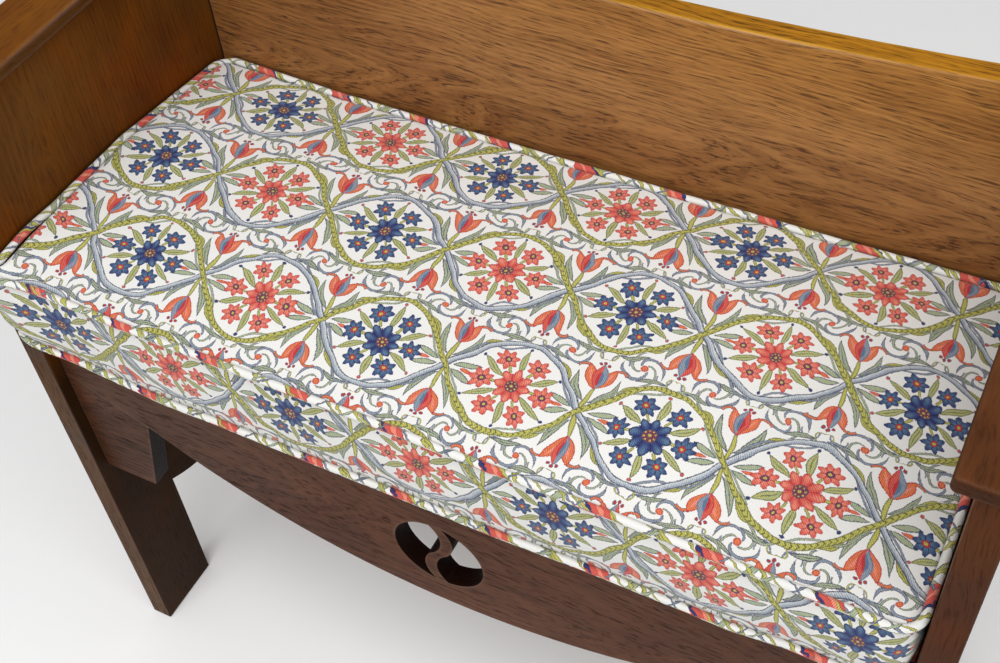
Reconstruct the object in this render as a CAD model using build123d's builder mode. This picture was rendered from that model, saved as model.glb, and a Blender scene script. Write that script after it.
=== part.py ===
"""Small oak hall settle with plank ends, flat arms, a pierced front rail and a loose box cushion.

Millimetres, +Z up, the front looks along -Y and +X is to the right seen from the front.
The origin is on the floor, under the middle of the whole piece.
"""

import os

from build123d import *

os.makedirs("parts", exist_ok=True)

# Whole piece
width_over_ends = 820.0
end_depth = 342.0
end_height = 732.0
seat_height = 480.0

# Plank ends
end_thickness = 24.0
foot_depth = 76.0
foot_height = 178.0
end_belly = 26.0
foot_chamfer = 2.0
edge_ease = 1.5

# Arms
arm_thickness = 13.0
arm_front_overhang = 12.0
arm_inner_overhang = 15.0
arm_outer_overhang = 17.0
arm_corner_radius = 4.0
arm_edge_radius = 3.0

# Back board
back_thickness = 21.0
back_inset = 3.0
back_middle_rise = 11.5
back_end_rise = 18.5
back_corner_radius = 5.0
back_edge_radius = 2.0
back_tongue_drop = 40.0

# Front rail, its pierced roundel and the brackets under its ends
rail_thickness = 20.0
rail_setback = 12.5
rail_middle_depth = 175.0
rail_bow_end_depth = 89.0
rail_end_depth = 51.0
rail_edge_chamfer = 0.8
roundel_radius = 42.5
roundel_margin = 32.0
roundel_bar_width = 11.5
roundel_bar_swing = 9.5
bracket_height = 105.0
bracket_top_width = 82.5
bracket_foot_width = 59.0
bracket_edge_ease = 1.0

# Rear seat rail
rear_rail_height = 72.0

# Joints between the boards
housing_depth = 8.0
tenon_length = 14.0
tenon_thickness = 10.0
tenon_shoulder = 7.0
fit_clearance = 0.1

# Seat boards and what they lie on
seat_board_count = 4
seat_board_thickness = 16.0
seat_board_gap = 3.0
seat_board_end_gap = 0.8
seat_board_ease = 1.0
bearer_thickness = 24.0
bearer_height = 28.0
bearer_end_gap = 0.8
centre_bearer_width = 40.0
stub_length = 6.0
stub_width = 24.0
stub_height = 16.0

# Glue blocks in the corners
glue_block_leg = 28.0
front_glue_block_height = 110.0
front_glue_block_drop = 12.0
rear_glue_block_height = 40.0

# Dowels
dowel_radius = 4.0
dowel_end_chamfer = 0.6
dowel_end_room = 1.0
arm_dowel_length = 30.0
arm_dowel_rise = 8.0
arm_dowel_share = 0.36
back_dowel_length = 40.0
back_dowel_shares = (-0.78, -0.34, 0.34, 0.78)
bracket_dowel_radius = 3.0
bracket_dowel_length = 30.0
bracket_dowel_shares = (0.3, 0.7)

# Countersunk wood screws of the side bearers
screw_radius = 2.1
screw_head_radius = 4.2
screw_head_height = 2.6
screw_length = 36.0
screw_slot_width = 0.9
screw_slot_depth = 0.9
screw_shares = (-0.38, 0.0, 0.38)

# Flat-headed pins that hold the seat boards
pin_radius = 1.3
pin_head_radius = 2.8
pin_head_height = 1.0
pin_length = 38.0
pin_spread_share = 0.27

# Loose box cushion
cushion_height = 95.0
cushion_front_reach = 12.0
cushion_rest_gap = 0.3
cushion_side_gap = 0.3
cushion_crown = 10.0
cushion_edge_crown = 0.6
cushion_side_draw = 3.0
cushion_corner_radius = 22.0
cover_thickness = 1.5
piping_radius = 4.8
piping_stand = 1.2
piping_gap = 0.3
crown_stations = 7
crown_power = 4

# Overrun of every cut past the face it leaves by
overrun = 1.0

# Planes and places that follow from the sizes above
outer_x = width_over_ends / 2
inner_x = outer_x - end_thickness
middle_end_x = outer_x - end_thickness / 2
front_y = (arm_front_overhang - end_depth) / 2
rear_y = front_y + end_depth
middle_y = (front_y + rear_y) / 2
arm_front_y = front_y - arm_front_overhang
rail_front_y = front_y + rail_setback
rail_back_y = rail_front_y + rail_thickness
rail_middle_y = rail_front_y + rail_thickness / 2
rail_low_height = seat_height - rail_middle_depth
rail_bow_half_width = inner_x - bracket_top_width
rail_bow_end_height = seat_height - rail_bow_end_depth
rail_end_height = seat_height - rail_end_depth
roundel_height = rail_low_height + roundel_margin + roundel_radius
bracket_bottom_height = rail_bow_end_height - bracket_height
back_rear_y = rear_y - back_inset
back_front_y = back_rear_y - back_thickness
back_middle_y = back_rear_y - back_thickness / 2
back_middle_height = end_height + back_middle_rise
back_end_height = back_middle_height + back_end_rise
bearer_top = seat_height - seat_board_thickness
bearer_bottom = bearer_top - bearer_height
rear_rail_bottom = bearer_top - rear_rail_height
arm_inner_x = inner_x - arm_inner_overhang
arm_outer_x = outer_x + arm_outer_overhang
seat_room = back_front_y - rail_back_y
seat_board_pitch = seat_room / seat_board_count
seat_board_width = seat_board_pitch - seat_board_gap
seat_board_ys = [rail_back_y + seat_board_pitch * (n + 0.5) for n in range(seat_board_count)]
side_bearer_x = inner_x - bearer_thickness / 2
side_bearer_length = seat_room - bearer_end_gap * 2
seat_middle_y = (rail_back_y + back_front_y) / 2
screw_ys = [seat_middle_y + share * side_bearer_length for share in screw_shares]
screw_z = bearer_top - bearer_height / 2
screw_head_x = inner_x - bearer_thickness
arm_dowel_ys = [middle_y + share * end_depth for share in (-arm_dowel_share, 0, arm_dowel_share)]
back_dowel_xs = [share * inner_x for share in back_dowel_shares]
pin_xs = (-side_bearer_x, 0, side_bearer_x)
pin_spread = seat_board_width * pin_spread_share
arm_top = end_height + arm_thickness
front_tenon_bottom = rail_end_height + tenon_shoulder
front_tenon_top = seat_height - tenon_shoulder
rear_tenon_bottom = rear_rail_bottom + tenon_shoulder
rear_tenon_top = bearer_top - tenon_shoulder
back_tongue_top = end_height - back_tongue_drop
front_tenon_height = front_tenon_top - front_tenon_bottom
rear_tenon_height = rear_tenon_top - rear_tenon_bottom
back_tongue_height = back_tongue_top - bearer_top
seat_board_length = (inner_x - seat_board_end_gap) * 2
front_glue_block_top = bearer_bottom - front_glue_block_drop
bracket_foot_x = inner_x - bracket_foot_width
joint_slope = (rail_end_height - rail_bow_end_height) / bracket_top_width
cushion_half_length = inner_x - cushion_side_gap
cushion_front_y = front_y - cushion_front_reach
cushion_rear_y = back_front_y - cushion_side_gap
cushion_middle_y = (cushion_front_y + cushion_rear_y) / 2
cushion_bottom = seat_height + cushion_rest_gap
cushion_top = cushion_bottom + cushion_height


def save(part, name):
    """Label a finished piece and write its file."""
    part.label = name
    export_step(part, f"parts/{name}.step")


def dowel_hole(radius, length):
    """A blind or through hole for a dowel that starts at each of the current places and goes down."""
    Cylinder(
        radius + fit_clearance,
        length,
        align=(Align.CENTER, Align.CENTER, Align.MAX),
        mode=Mode.SUBTRACT,
    )


def block(low, high, mode=Mode.ADD):
    """A box between two opposite corners, joined to the piece in hand or cut from it."""
    size = [b - a for a, b in zip(low, high)]
    centre = tuple((a + b) / 2 for a, b in zip(low, high))
    with Locations(centre):
        Box(*size, mode=mode)


def upright_socket(side, y_low, y_high, z_low, z_high, depth):
    """A pocket in an end's inner face, with clearance round what it takes."""
    x_mouth = side * (inner_x - overrun)
    x_floor = side * (inner_x + depth + fit_clearance)
    block(
        (min(x_mouth, x_floor), y_low - fit_clearance, z_low - fit_clearance),
        (max(x_mouth, x_floor), y_high + fit_clearance, z_high + fit_clearance),
        mode=Mode.SUBTRACT,
    )


def make_dowel(radius, length):
    """A dowel with chamfered ends, its upper end at the origin."""
    with BuildPart() as dowel:
        Cylinder(radius, length, align=(Align.CENTER, Align.CENTER, Align.MAX))
        chamfer(dowel.edges().filter_by(GeomType.CIRCLE), dowel_end_chamfer)
    return dowel.part


def pin_places(x):
    """Where the pins of one bearer stand, on top of that bearer."""
    return [(x, y + spread, bearer_top) for y in seat_board_ys for spread in (-pin_spread, pin_spread)]


def bracket_dowel_tops(side):
    """Upper ends of the dowels that stand half in the rail and half in a bracket."""
    places = []
    for share in bracket_dowel_shares:
        out = share * bracket_top_width
        top = rail_bow_end_height + joint_slope * out + bracket_dowel_length / 2
        places.append((side * (rail_bow_half_width + out), rail_middle_y, top))
    return places


def drill_bracket_joint(side):
    """Holes for a bracket's dowels, cut from the bracket or from the rail above it."""
    with Locations([(x, y, top + dowel_end_room) for x, y, top in bracket_dowel_tops(side)]):
        dowel_hole(bracket_dowel_radius, bracket_dowel_length + dowel_end_room * 2)


def stub_socket(y_low, y_high):
    """A pocket for a stub end of the centre bearer, with clearance round it."""
    block(
        (-stub_width / 2 - fit_clearance, y_low - fit_clearance, screw_z - stub_height / 2 - fit_clearance),
        (stub_width / 2 + fit_clearance, y_high + fit_clearance, screw_z + stub_height / 2 + fit_clearance),
        mode=Mode.SUBTRACT,
    )


# Plank ends: two feet, a hollow with a bellied upper edge between them, and the pockets of every joint
def make_end(side):
    with BuildPart() as end:
        with BuildSketch(Plane.YZ.offset(side * middle_end_x)):
            with BuildLine():
                Polyline(
                    (front_y + foot_depth, foot_height),
                    (front_y + foot_depth, 0),
                    (front_y, 0),
                    (front_y, end_height),
                    (rear_y, end_height),
                    (rear_y, 0),
                    (rear_y - foot_depth, 0),
                    (rear_y - foot_depth, foot_height),
                )
                ThreePointArc(
                    (rear_y - foot_depth, foot_height),
                    (middle_y, foot_height - end_belly),
                    (front_y + foot_depth, foot_height),
                )
            make_face()
        extrude(amount=end_thickness / 2, both=True)
        chamfer(end.edges().group_by(Axis.Z)[0], foot_chamfer)
        uprights = end.edges().filter_by(Axis.Z).group_by(Axis.Y)
        fillet(uprights[0] + uprights[-1], edge_ease)
        upright_socket(side, back_front_y, back_rear_y, bearer_top, back_tongue_top, housing_depth)
        upright_socket(
            side,
            rail_middle_y - tenon_thickness / 2,
            rail_middle_y + tenon_thickness / 2,
            front_tenon_bottom,
            front_tenon_top,
            tenon_length,
        )
        upright_socket(
            side,
            back_middle_y - tenon_thickness / 2,
            back_middle_y + tenon_thickness / 2,
            rear_tenon_bottom,
            rear_tenon_top,
            tenon_length,
        )
        with Locations([(side * middle_end_x, y, end_height) for y in arm_dowel_ys]):
            dowel_hole(dowel_radius, arm_dowel_length - arm_dowel_rise + dowel_end_room)
        with Locations([Plane((side * inner_x, y, screw_z), z_dir=(-side, 0, 0)) for y in screw_ys]):
            dowel_hole(screw_radius, screw_length - bearer_thickness + dowel_end_room)
    return end.part


# Arms: flat boards with rounded corners and edges, cut away round the back board
def make_arm(side):
    with BuildPart() as arm:
        block(
            (min(side * arm_inner_x, side * arm_outer_x), arm_front_y, end_height),
            (max(side * arm_inner_x, side * arm_outer_x), rear_y, arm_top),
        )
        fillet(arm.edges().filter_by(Axis.Z), arm_corner_radius)
        fillet(arm.faces().sort_by(Axis.Z)[-1].edges(), arm_edge_radius)
        fillet(arm.faces().sort_by(Axis.Z)[0].edges(), arm_edge_radius)
        notch_inner = side * (arm_inner_x - overrun)
        notch_outer = side * (inner_x + fit_clearance)
        block(
            (min(notch_inner, notch_outer), back_front_y - fit_clearance, end_height - overrun),
            (max(notch_inner, notch_outer), rear_y + overrun, arm_top + overrun),
            mode=Mode.SUBTRACT,
        )
        dowel_depth = arm_dowel_rise + dowel_end_room
        with Locations([(side * middle_end_x, y, end_height + dowel_depth) for y in arm_dowel_ys]):
            dowel_hole(dowel_radius, dowel_depth)
    return arm.part


for name, side in (("left", -1), ("right", 1)):
    save(make_end(side), f"{name}_end")
    save(make_arm(side), f"{name}_arm")

# Back board: its top edge dips to the middle and its ends sit in the housings of the ends
with BuildPart() as back_board:
    with BuildSketch(Plane.XZ.offset(-back_front_y)) as back_face:
        with BuildLine():
            Polyline(
                (inner_x, back_end_height),
                (inner_x, bearer_top),
                (-inner_x, bearer_top),
                (-inner_x, back_end_height),
            )
            ThreePointArc(
                (-inner_x, back_end_height),
                (0, back_middle_height),
                (inner_x, back_end_height),
            )
        make_face()
        fillet(back_face.vertices().group_by(Axis.Z)[-1], back_corner_radius)
    extrude(amount=-back_thickness)
    top_edge = back_board.faces().filter_by(GeomType.CYLINDER).sort_by(SortBy.AREA)[-1].edges()
    fillet(top_edge.filter_by(GeomType.CIRCLE), back_edge_radius)
    for side in (-1, 1):
        with Locations((side * (inner_x + housing_depth / 2), back_middle_y, bearer_top)):
            Box(
                housing_depth,
                back_thickness,
                back_tongue_height,
                align=(Align.CENTER, Align.CENTER, Align.MIN),
            )
    back_dowel_depth = back_dowel_length / 2 + dowel_end_room
    with Locations([(x, back_middle_y, bearer_top + back_dowel_depth) for x in back_dowel_xs]):
        dowel_hole(dowel_radius, back_dowel_depth)
save(back_board.part, "back_board")

# Front rail: bowed lower edge, tenoned ends and a round piercing
with BuildPart() as front_rail:
    with BuildSketch(Plane.XZ.offset(-rail_front_y)):
        with BuildLine():
            Polyline(
                (rail_bow_half_width, rail_bow_end_height),
                (inner_x, rail_end_height),
                (inner_x, seat_height),
                (-inner_x, seat_height),
                (-inner_x, rail_end_height),
                (-rail_bow_half_width, rail_bow_end_height),
            )
            ThreePointArc(
                (-rail_bow_half_width, rail_bow_end_height),
                (0, rail_low_height),
                (rail_bow_half_width, rail_bow_end_height),
            )
        make_face()
    extrude(amount=-rail_thickness)
    with BuildSketch(Plane.XZ.offset(-rail_front_y)):
        with Locations((0, roundel_height)):
            Circle(roundel_radius)
    extrude(amount=-rail_thickness, mode=Mode.SUBTRACT)
    bowed_edge = front_rail.faces().sort_by(Axis.Y)[0].edges().filter_by(GeomType.CIRCLE)
    chamfer(bowed_edge.sort_by(SortBy.LENGTH)[-1], rail_edge_chamfer)
    for side in (-1, 1):
        with Locations((side * (inner_x + tenon_length / 2), rail_middle_y, front_tenon_bottom)):
            Box(
                tenon_length,
                tenon_thickness,
                front_tenon_height,
                align=(Align.CENTER, Align.CENTER, Align.MIN),
            )
    stub_socket(rail_back_y - stub_length, rail_back_y + overrun)
    for side in (-1, 1):
        drill_bracket_joint(side)
save(front_rail.part, "front_rail")

# Serpentine bar glued upright across the round piercing
with BuildPart() as roundel_bar:
    with BuildSketch(Plane.XZ.offset(-rail_front_y)):
        with BuildLine():
            half_bar = roundel_bar_width / 2
            for edge in (-half_bar, half_bar):
                ThreePointArc(
                    (edge, roundel_height + roundel_radius),
                    (edge + roundel_bar_swing, roundel_height + roundel_radius / 2),
                    (edge, roundel_height),
                )
                ThreePointArc(
                    (edge, roundel_height),
                    (edge - roundel_bar_swing, roundel_height - roundel_radius / 2),
                    (edge, roundel_height - roundel_radius),
                )
            for end in (-roundel_radius, roundel_radius):
                Line((-half_bar, roundel_height + end), (half_bar, roundel_height + end))
        make_face()
        with Locations((0, roundel_height)):
            Circle(roundel_radius - fit_clearance, mode=Mode.INTERSECT)
    extrude(amount=-rail_thickness)
save(roundel_bar.part, "rail_roundel_bar")

# Brackets under the rail's ends, each narrower at its foot than at its top
for name, side in (("left", -1), ("right", 1)):
    with BuildPart() as bracket:
        with BuildSketch(Plane.XZ.offset(-rail_front_y)):
            with BuildLine():
                Polyline(
                    (side * bracket_foot_x, bracket_bottom_height),
                    (side * inner_x, bracket_bottom_height),
                    (side * inner_x, rail_end_height),
                    (side * rail_bow_half_width, rail_bow_end_height),
                    close=True,
                )
            make_face()
        extrude(amount=-rail_thickness)
        fillet(bracket.faces().sort_by(Axis.Z)[0].edges().filter_by(Axis.X), bracket_edge_ease)
        drill_bracket_joint(side)
    save(bracket.part, f"{name}_rail_bracket")

# Rear seat rail: straight, under the back board and in line with it
with BuildPart() as rear_rail:
    block((-inner_x, back_front_y, rear_rail_bottom), (inner_x, back_rear_y, bearer_top))
    chamfer(rear_rail.faces().sort_by(Axis.Z)[0].edges().filter_by(Axis.X), edge_ease)
    block(
        (-inner_x - tenon_length, back_middle_y - tenon_thickness / 2, rear_tenon_bottom),
        (inner_x + tenon_length, back_middle_y + tenon_thickness / 2, rear_tenon_top),
    )
    with Locations([(x, back_middle_y, bearer_top) for x in back_dowel_xs]):
        dowel_hole(dowel_radius, back_dowel_length / 2 + dowel_end_room)
    stub_socket(back_front_y - overrun, back_front_y + stub_length)
save(rear_rail.part, "rear_seat_rail")

# Side bearers: battens screwed to the ends, with countersunk holes from their inner faces
for name, side in (("left", -1), ("right", 1)):
    with BuildPart() as bearer:
        with Locations((side * side_bearer_x, seat_middle_y, bearer_top)):
            Box(
                bearer_thickness,
                side_bearer_length,
                bearer_height,
                align=(Align.CENTER, Align.CENTER, Align.MAX),
            )
        with Locations([Plane((side * screw_head_x, y, screw_z), z_dir=(-side, 0, 0)) for y in screw_ys]):
            dowel_hole(screw_radius, bearer_thickness)
            Cone(
                screw_radius + fit_clearance,
                screw_head_radius + fit_clearance,
                screw_head_height,
                align=(Align.CENTER, Align.CENTER, Align.MAX),
                mode=Mode.SUBTRACT,
            )
        with Locations(pin_places(side * side_bearer_x)):
            dowel_hole(pin_radius, pin_length - seat_board_thickness + dowel_end_room)
    save(bearer.part, f"{name}_seat_bearer")

# Centre bearer: a flat batten from rail to rail, its stub ends let into both
with BuildPart() as centre_bearer:
    block(
        (-centre_bearer_width / 2, rail_back_y, bearer_bottom),
        (centre_bearer_width / 2, back_front_y, bearer_top),
    )
    block(
        (-stub_width / 2, rail_back_y - stub_length, screw_z - stub_height / 2),
        (stub_width / 2, back_front_y + stub_length, screw_z + stub_height / 2),
    )
    with Locations(pin_places(0)):
        dowel_hole(pin_radius, pin_length - seat_board_thickness + dowel_end_room)
save(centre_bearer.part, "centre_seat_bearer")

# Seat boards: laid lengthwise with narrow gaps, level with the top of the front rail
for number, board_y in enumerate(seat_board_ys, start=1):
    with BuildPart() as board:
        with Locations((0, board_y, seat_height)):
            Box(
                seat_board_length,
                seat_board_width,
                seat_board_thickness,
                align=(Align.CENTER, Align.CENTER, Align.MAX),
            )
        fillet(board.faces().sort_by(Axis.Z)[-1].edges().filter_by(Axis.X), seat_board_ease)
        pin_ys = (board_y - pin_spread, board_y + pin_spread)
        with Locations([(x, y, seat_height) for x in pin_xs for y in pin_ys]):
            dowel_hole(pin_radius, seat_board_thickness)
            dowel_hole(pin_head_radius, pin_head_height)
    save(board.part, f"seat_board_{number}")

# Glue blocks: three-cornered, one in each corner between an end and a rail
glue_blocks = (
    ("front_left", -1, rail_back_y, 1, front_glue_block_top, front_glue_block_height),
    ("front_right", 1, rail_back_y, 1, front_glue_block_top, front_glue_block_height),
    ("rear_left", -1, back_front_y, -1, bearer_bottom, rear_glue_block_height),
    ("rear_right", 1, back_front_y, -1, bearer_bottom, rear_glue_block_height),
)
for name, side, corner_y, inward, top, height in glue_blocks:
    with BuildPart() as glue_block:
        with BuildSketch(Plane.XY.offset(top)):
            with BuildLine():
                Polyline(
                    (side * inner_x, corner_y),
                    (side * (inner_x - glue_block_leg), corner_y),
                    (side * inner_x, corner_y + inward * glue_block_leg),
                    close=True,
                )
            make_face()
        extrude(amount=-height)
    save(glue_block.part, f"{name}_glue_block")

# Dowels, screws and pins: each kind is a group of separate pieces
arm_dowel = make_dowel(dowel_radius, arm_dowel_length)
with BuildPart() as arm_dowels:
    for side in (-1, 1):
        with Locations([(side * middle_end_x, y, end_height + arm_dowel_rise) for y in arm_dowel_ys]):
            add(arm_dowel)
save(arm_dowels.part, "arm_dowels")

back_dowel = make_dowel(dowel_radius, back_dowel_length)
with BuildPart() as back_dowels:
    with Locations([(x, back_middle_y, bearer_top + back_dowel_length / 2) for x in back_dowel_xs]):
        add(back_dowel)
save(back_dowels.part, "back_board_dowels")

bracket_dowel = make_dowel(bracket_dowel_radius, bracket_dowel_length)
with BuildPart() as bracket_dowels:
    for side in (-1, 1):
        with Locations(bracket_dowel_tops(side)):
            add(bracket_dowel)
save(bracket_dowels.part, "bracket_dowels")

with BuildPart() as bearer_screws:
    for side in (-1, 1):
        with Locations([Plane((side * screw_head_x, y, screw_z), z_dir=(-side, 0, 0)) for y in screw_ys]):
            Cylinder(screw_radius, screw_length, align=(Align.CENTER, Align.CENTER, Align.MAX))
            Cone(
                screw_radius,
                screw_head_radius,
                screw_head_height,
                align=(Align.CENTER, Align.CENTER, Align.MAX),
            )
            Box(
                screw_slot_width,
                screw_head_radius * 3,
                screw_slot_depth,
                align=(Align.CENTER, Align.CENTER, Align.MAX),
                mode=Mode.SUBTRACT,
            )
save(bearer_screws.part, "bearer_screws")

with BuildPart() as seat_pins:
    for x in pin_xs:
        with Locations([(px, py, seat_height) for px, py, _ in pin_places(x)]):
            Cylinder(pin_radius, pin_length, align=(Align.CENTER, Align.CENTER, Align.MAX))
            Cylinder(pin_head_radius, pin_head_height, align=(Align.CENTER, Align.CENTER, Align.MAX))
save(seat_pins.part, "seat_board_pins")


# Cushion
def cushion_plan(inset, height):
    """The cushion's outline from above at a height: four slightly hollow sides and rounded corners."""
    x_far = cushion_half_length - inset
    y_low = cushion_front_y + inset
    y_high = cushion_rear_y - inset
    y_mid = (y_low + y_high) / 2
    with BuildSketch(Plane.XY.offset(height)) as plan:
        with BuildLine():
            ThreePointArc((-x_far, y_low), (0, y_low + cushion_side_draw), (x_far, y_low))
            ThreePointArc((x_far, y_low), (x_far - cushion_side_draw, y_mid), (x_far, y_high))
            ThreePointArc((x_far, y_high), (0, y_high - cushion_side_draw), (-x_far, y_high))
            ThreePointArc((-x_far, y_high), (-x_far + cushion_side_draw, y_mid), (-x_far, y_low))
        make_face()
        fillet(plan.vertices(), cushion_corner_radius - inset)
    return plan.sketch


def crowned_body(inset):
    """The filled form of the cushion, taken in by an inset all round, with its crown on top."""
    low = cushion_bottom + piping_stand + inset
    edge = cushion_top - piping_stand - inset
    with BuildPart() as body:
        for n in range(crown_stations):
            along = n / (crown_stations - 1) * 2 - 1
            rise = cushion_edge_crown + cushion_crown * (1 - abs(along) ** crown_power)
            with BuildSketch(Plane.YZ.offset(along * cushion_half_length)):
                with BuildLine():
                    Polyline(
                        (cushion_front_y, edge),
                        (cushion_front_y, low),
                        (cushion_rear_y, low),
                        (cushion_rear_y, edge),
                    )
                    ThreePointArc(
                        (cushion_rear_y, edge),
                        (cushion_middle_y, edge + rise),
                        (cushion_front_y, edge),
                    )
                make_face()
        loft()
        add(cushion_plan(piping_radius + inset, low))
        extrude(amount=cushion_height + cushion_crown, mode=Mode.INTERSECT)
    return body.part


def seam_room(low, high):
    """The stepped edge that a piped seam lies in, between two heights, as a ring to cut away."""
    with BuildPart() as room:
        with BuildSketch(Plane.XY.offset(low)):
            with Locations((0, cushion_middle_y)):
                Rectangle(width_over_ends, end_depth)
            add(cushion_plan(piping_radius * 2 + piping_gap, low), mode=Mode.SUBTRACT)
        extrude(amount=high - low)
    return room.part


piping_low = cushion_bottom + piping_radius
piping_high = cushion_top - piping_radius
for name, height in (("cushion_bottom_piping", piping_low), ("cushion_top_piping", piping_high)):
    path = cushion_plan(piping_radius, height).face().outer_wire()
    with BuildPart() as piping:
        with BuildSketch(Plane(path @ 0, z_dir=path % 0)):
            Circle(piping_radius)
        sweep(path=path)
    save(piping.part, name)

outer_body = crowned_body(0)
inner_body = crowned_body(cover_thickness)
cushion_peak = cushion_top + cushion_crown + overrun
seam_rooms = [
    seam_room(cushion_bottom - overrun, piping_low + piping_radius + piping_gap),
    seam_room(piping_high - piping_radius - piping_gap, cushion_peak),
]
with BuildPart() as foam:
    add(inner_body)
    add(seam_rooms, mode=Mode.SUBTRACT)
save(foam.part, "cushion_foam")

# The cover is a thin skin that the two piped seams divide into a top, a bottom and a band
cover_parts = (
    ("cushion_bottom_panel", cushion_bottom - overrun, piping_low),
    ("cushion_side_band", piping_low, piping_high),
    ("cushion_top_panel", piping_high, cushion_peak),
)
for name, low, high in cover_parts:
    with BuildPart() as cover:
        add(outer_body)
        add([inner_body, *seam_rooms], mode=Mode.SUBTRACT)
        block(
            (-inner_x, cushion_front_y - overrun, low),
            (inner_x, cushion_rear_y + overrun, high),
            mode=Mode.INTERSECT,
        )
    save(cover.part, name)
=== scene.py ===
"""Looks of the small oak hall settle: camera, light, oak, steel and the piped box cushion.

Metres, +Z up, the front looks along -Y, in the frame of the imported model.
"""

import math

import bpy
import numpy as np
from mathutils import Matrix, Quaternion, Vector, noise


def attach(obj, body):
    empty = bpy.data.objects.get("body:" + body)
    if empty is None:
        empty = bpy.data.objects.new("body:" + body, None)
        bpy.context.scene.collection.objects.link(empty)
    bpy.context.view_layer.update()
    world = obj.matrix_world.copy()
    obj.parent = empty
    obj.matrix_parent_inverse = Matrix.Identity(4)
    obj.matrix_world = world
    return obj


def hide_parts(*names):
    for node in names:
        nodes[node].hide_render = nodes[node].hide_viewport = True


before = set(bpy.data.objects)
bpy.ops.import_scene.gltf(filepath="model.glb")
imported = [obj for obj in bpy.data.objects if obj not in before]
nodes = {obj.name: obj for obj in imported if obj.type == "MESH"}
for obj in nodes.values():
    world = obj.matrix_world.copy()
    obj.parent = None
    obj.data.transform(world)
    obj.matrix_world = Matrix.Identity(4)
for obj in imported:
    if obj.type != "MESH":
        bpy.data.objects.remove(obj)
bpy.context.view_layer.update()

# Camera: solved from the straight edges of the photographed piece
CAMERA_LENS = 48.915
CAMERA_PLACE = (0.38040, -0.64963, 1.36377)
CAMERA_TARGET = (0.01502, -0.04368, 0.56)
CAMERA_ROLL = math.radians(-5.2484)


def put(name, data):
    """A new object in the scene."""
    obj = bpy.data.objects.new(name, data)
    bpy.context.scene.collection.objects.link(obj)
    return obj


def aim(obj, place, target):
    """Stands a camera or a lamp at a place and points it at a target."""
    obj.location = place
    obj.rotation_mode = "QUATERNION"
    obj.rotation_quaternion = (Vector(target) - Vector(place)).to_track_quat("-Z", "Y")


camera_data = bpy.data.cameras.new("camera")
camera_data.sensor_width = 36.0
camera_data.lens = CAMERA_LENS
camera = put("camera", camera_data)
bpy.context.scene.camera = camera
aim(camera, CAMERA_PLACE, CAMERA_TARGET)
camera.rotation_quaternion = camera.rotation_quaternion @ Quaternion((0, 0, 1), CAMERA_ROLL)
bpy.context.scene.view_settings.view_transform = "Standard"


# Shader arithmetic, so that a pattern is written as a formula
class Net:
    """A node tree in which arithmetic on sockets makes nodes."""

    def __init__(self, tree):
        self.tree = tree
        self.nodes = tree.nodes

    def feed(self, socket, value):
        """Links a socket to a term or another socket, or sets it to a constant."""
        if isinstance(value, Term):
            value = value.socket
        if isinstance(value, bpy.types.NodeSocket):
            self.tree.links.new(value, socket)
        else:
            socket.default_value = value

    def math(self, operation, *values, clamp=False):
        node = self.nodes.new("ShaderNodeMath")
        node.operation = operation
        node.use_clamp = clamp
        for socket, value in zip(node.inputs, values):
            self.feed(socket, value)
        return Term(self, node.outputs[0])

    def vector(self, x, y, z=0.0):
        node = self.nodes.new("ShaderNodeCombineXYZ")
        for socket, value in zip(node.inputs, (x, y, z)):
            self.feed(socket, value)
        return node.outputs[0]

    def split(self, vector):
        node = self.nodes.new("ShaderNodeSeparateXYZ")
        self.feed(node.inputs[0], vector)
        return [Term(self, s) for s in node.outputs]

    def noise(self, vector, scale, detail=2.0, roughness=0.5, colour=False):
        node = self.nodes.new("ShaderNodeTexNoise")
        self.feed(node.inputs["Vector"], vector)
        node.inputs["Scale"].default_value = scale
        node.inputs["Detail"].default_value = detail
        node.inputs["Roughness"].default_value = roughness
        return node.outputs["Color"] if colour else Term(self, node.outputs["Fac"])

    def mix(self, factor, under, over, blend="MIX"):
        node = self.nodes.new("ShaderNodeMix")
        node.data_type = "RGBA"
        node.blend_type = blend
        self.feed(node.inputs[0], factor)
        self.feed(node.inputs[6], under)
        self.feed(node.inputs[7], over)
        return node.outputs[2]

    def clamped(self, value):
        return self.math("ADD", value, 0.0, clamp=True)

    def ramp(self, value, low, high, to_low=0.0, to_high=1.0):
        """A straight passage from one value to another while a term goes from low to high."""
        node = self.nodes.new("ShaderNodeMapRange")
        for socket, item in zip(node.inputs, (value, low, high, to_low, to_high)):
            self.feed(socket, item)
        return Term(self, node.outputs[0])

    def length(self, u, v):
        node = self.nodes.new("ShaderNodeVectorMath")
        node.operation = "LENGTH"
        self.feed(node.inputs[0], self.vector(u, v))
        return Term(self, node.outputs["Value"])

    def wrap(self, value, half):
        """A repeating value, from minus half a period to plus half of it."""
        return self.math("WRAP", value, half, -half)

    def turned(self, u, v, degrees):
        """Along and across a direction that is turned from u by some degrees."""
        c, s = math.cos(math.radians(degrees)), math.sin(math.radians(degrees))
        return u * c + v * s, v * c - u * s


class Term:
    """A number that a node gives, with the usual arithmetic."""

    def __init__(self, net, socket):
        self.net = net
        self.socket = socket

    def __add__(self, other):
        return self.net.math("ADD", self, other)

    def __radd__(self, other):
        return self.net.math("ADD", other, self)

    def __sub__(self, other):
        return self.net.math("SUBTRACT", self, other)

    def __rsub__(self, other):
        return self.net.math("SUBTRACT", other, self)

    def __mul__(self, other):
        return self.net.math("MULTIPLY", self, other)

    def __rmul__(self, other):
        return self.net.math("MULTIPLY", other, self)

    def __truediv__(self, other):
        return self.net.math("DIVIDE", self, other)

    def __abs__(self):
        return self.net.math("ABSOLUTE", self)

    def sin(self):
        return self.net.math("SINE", self)

    def cos(self):
        return self.net.math("COSINE", self)

    def most(self, other):
        return self.net.math("MAXIMUM", self, other)


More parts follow.
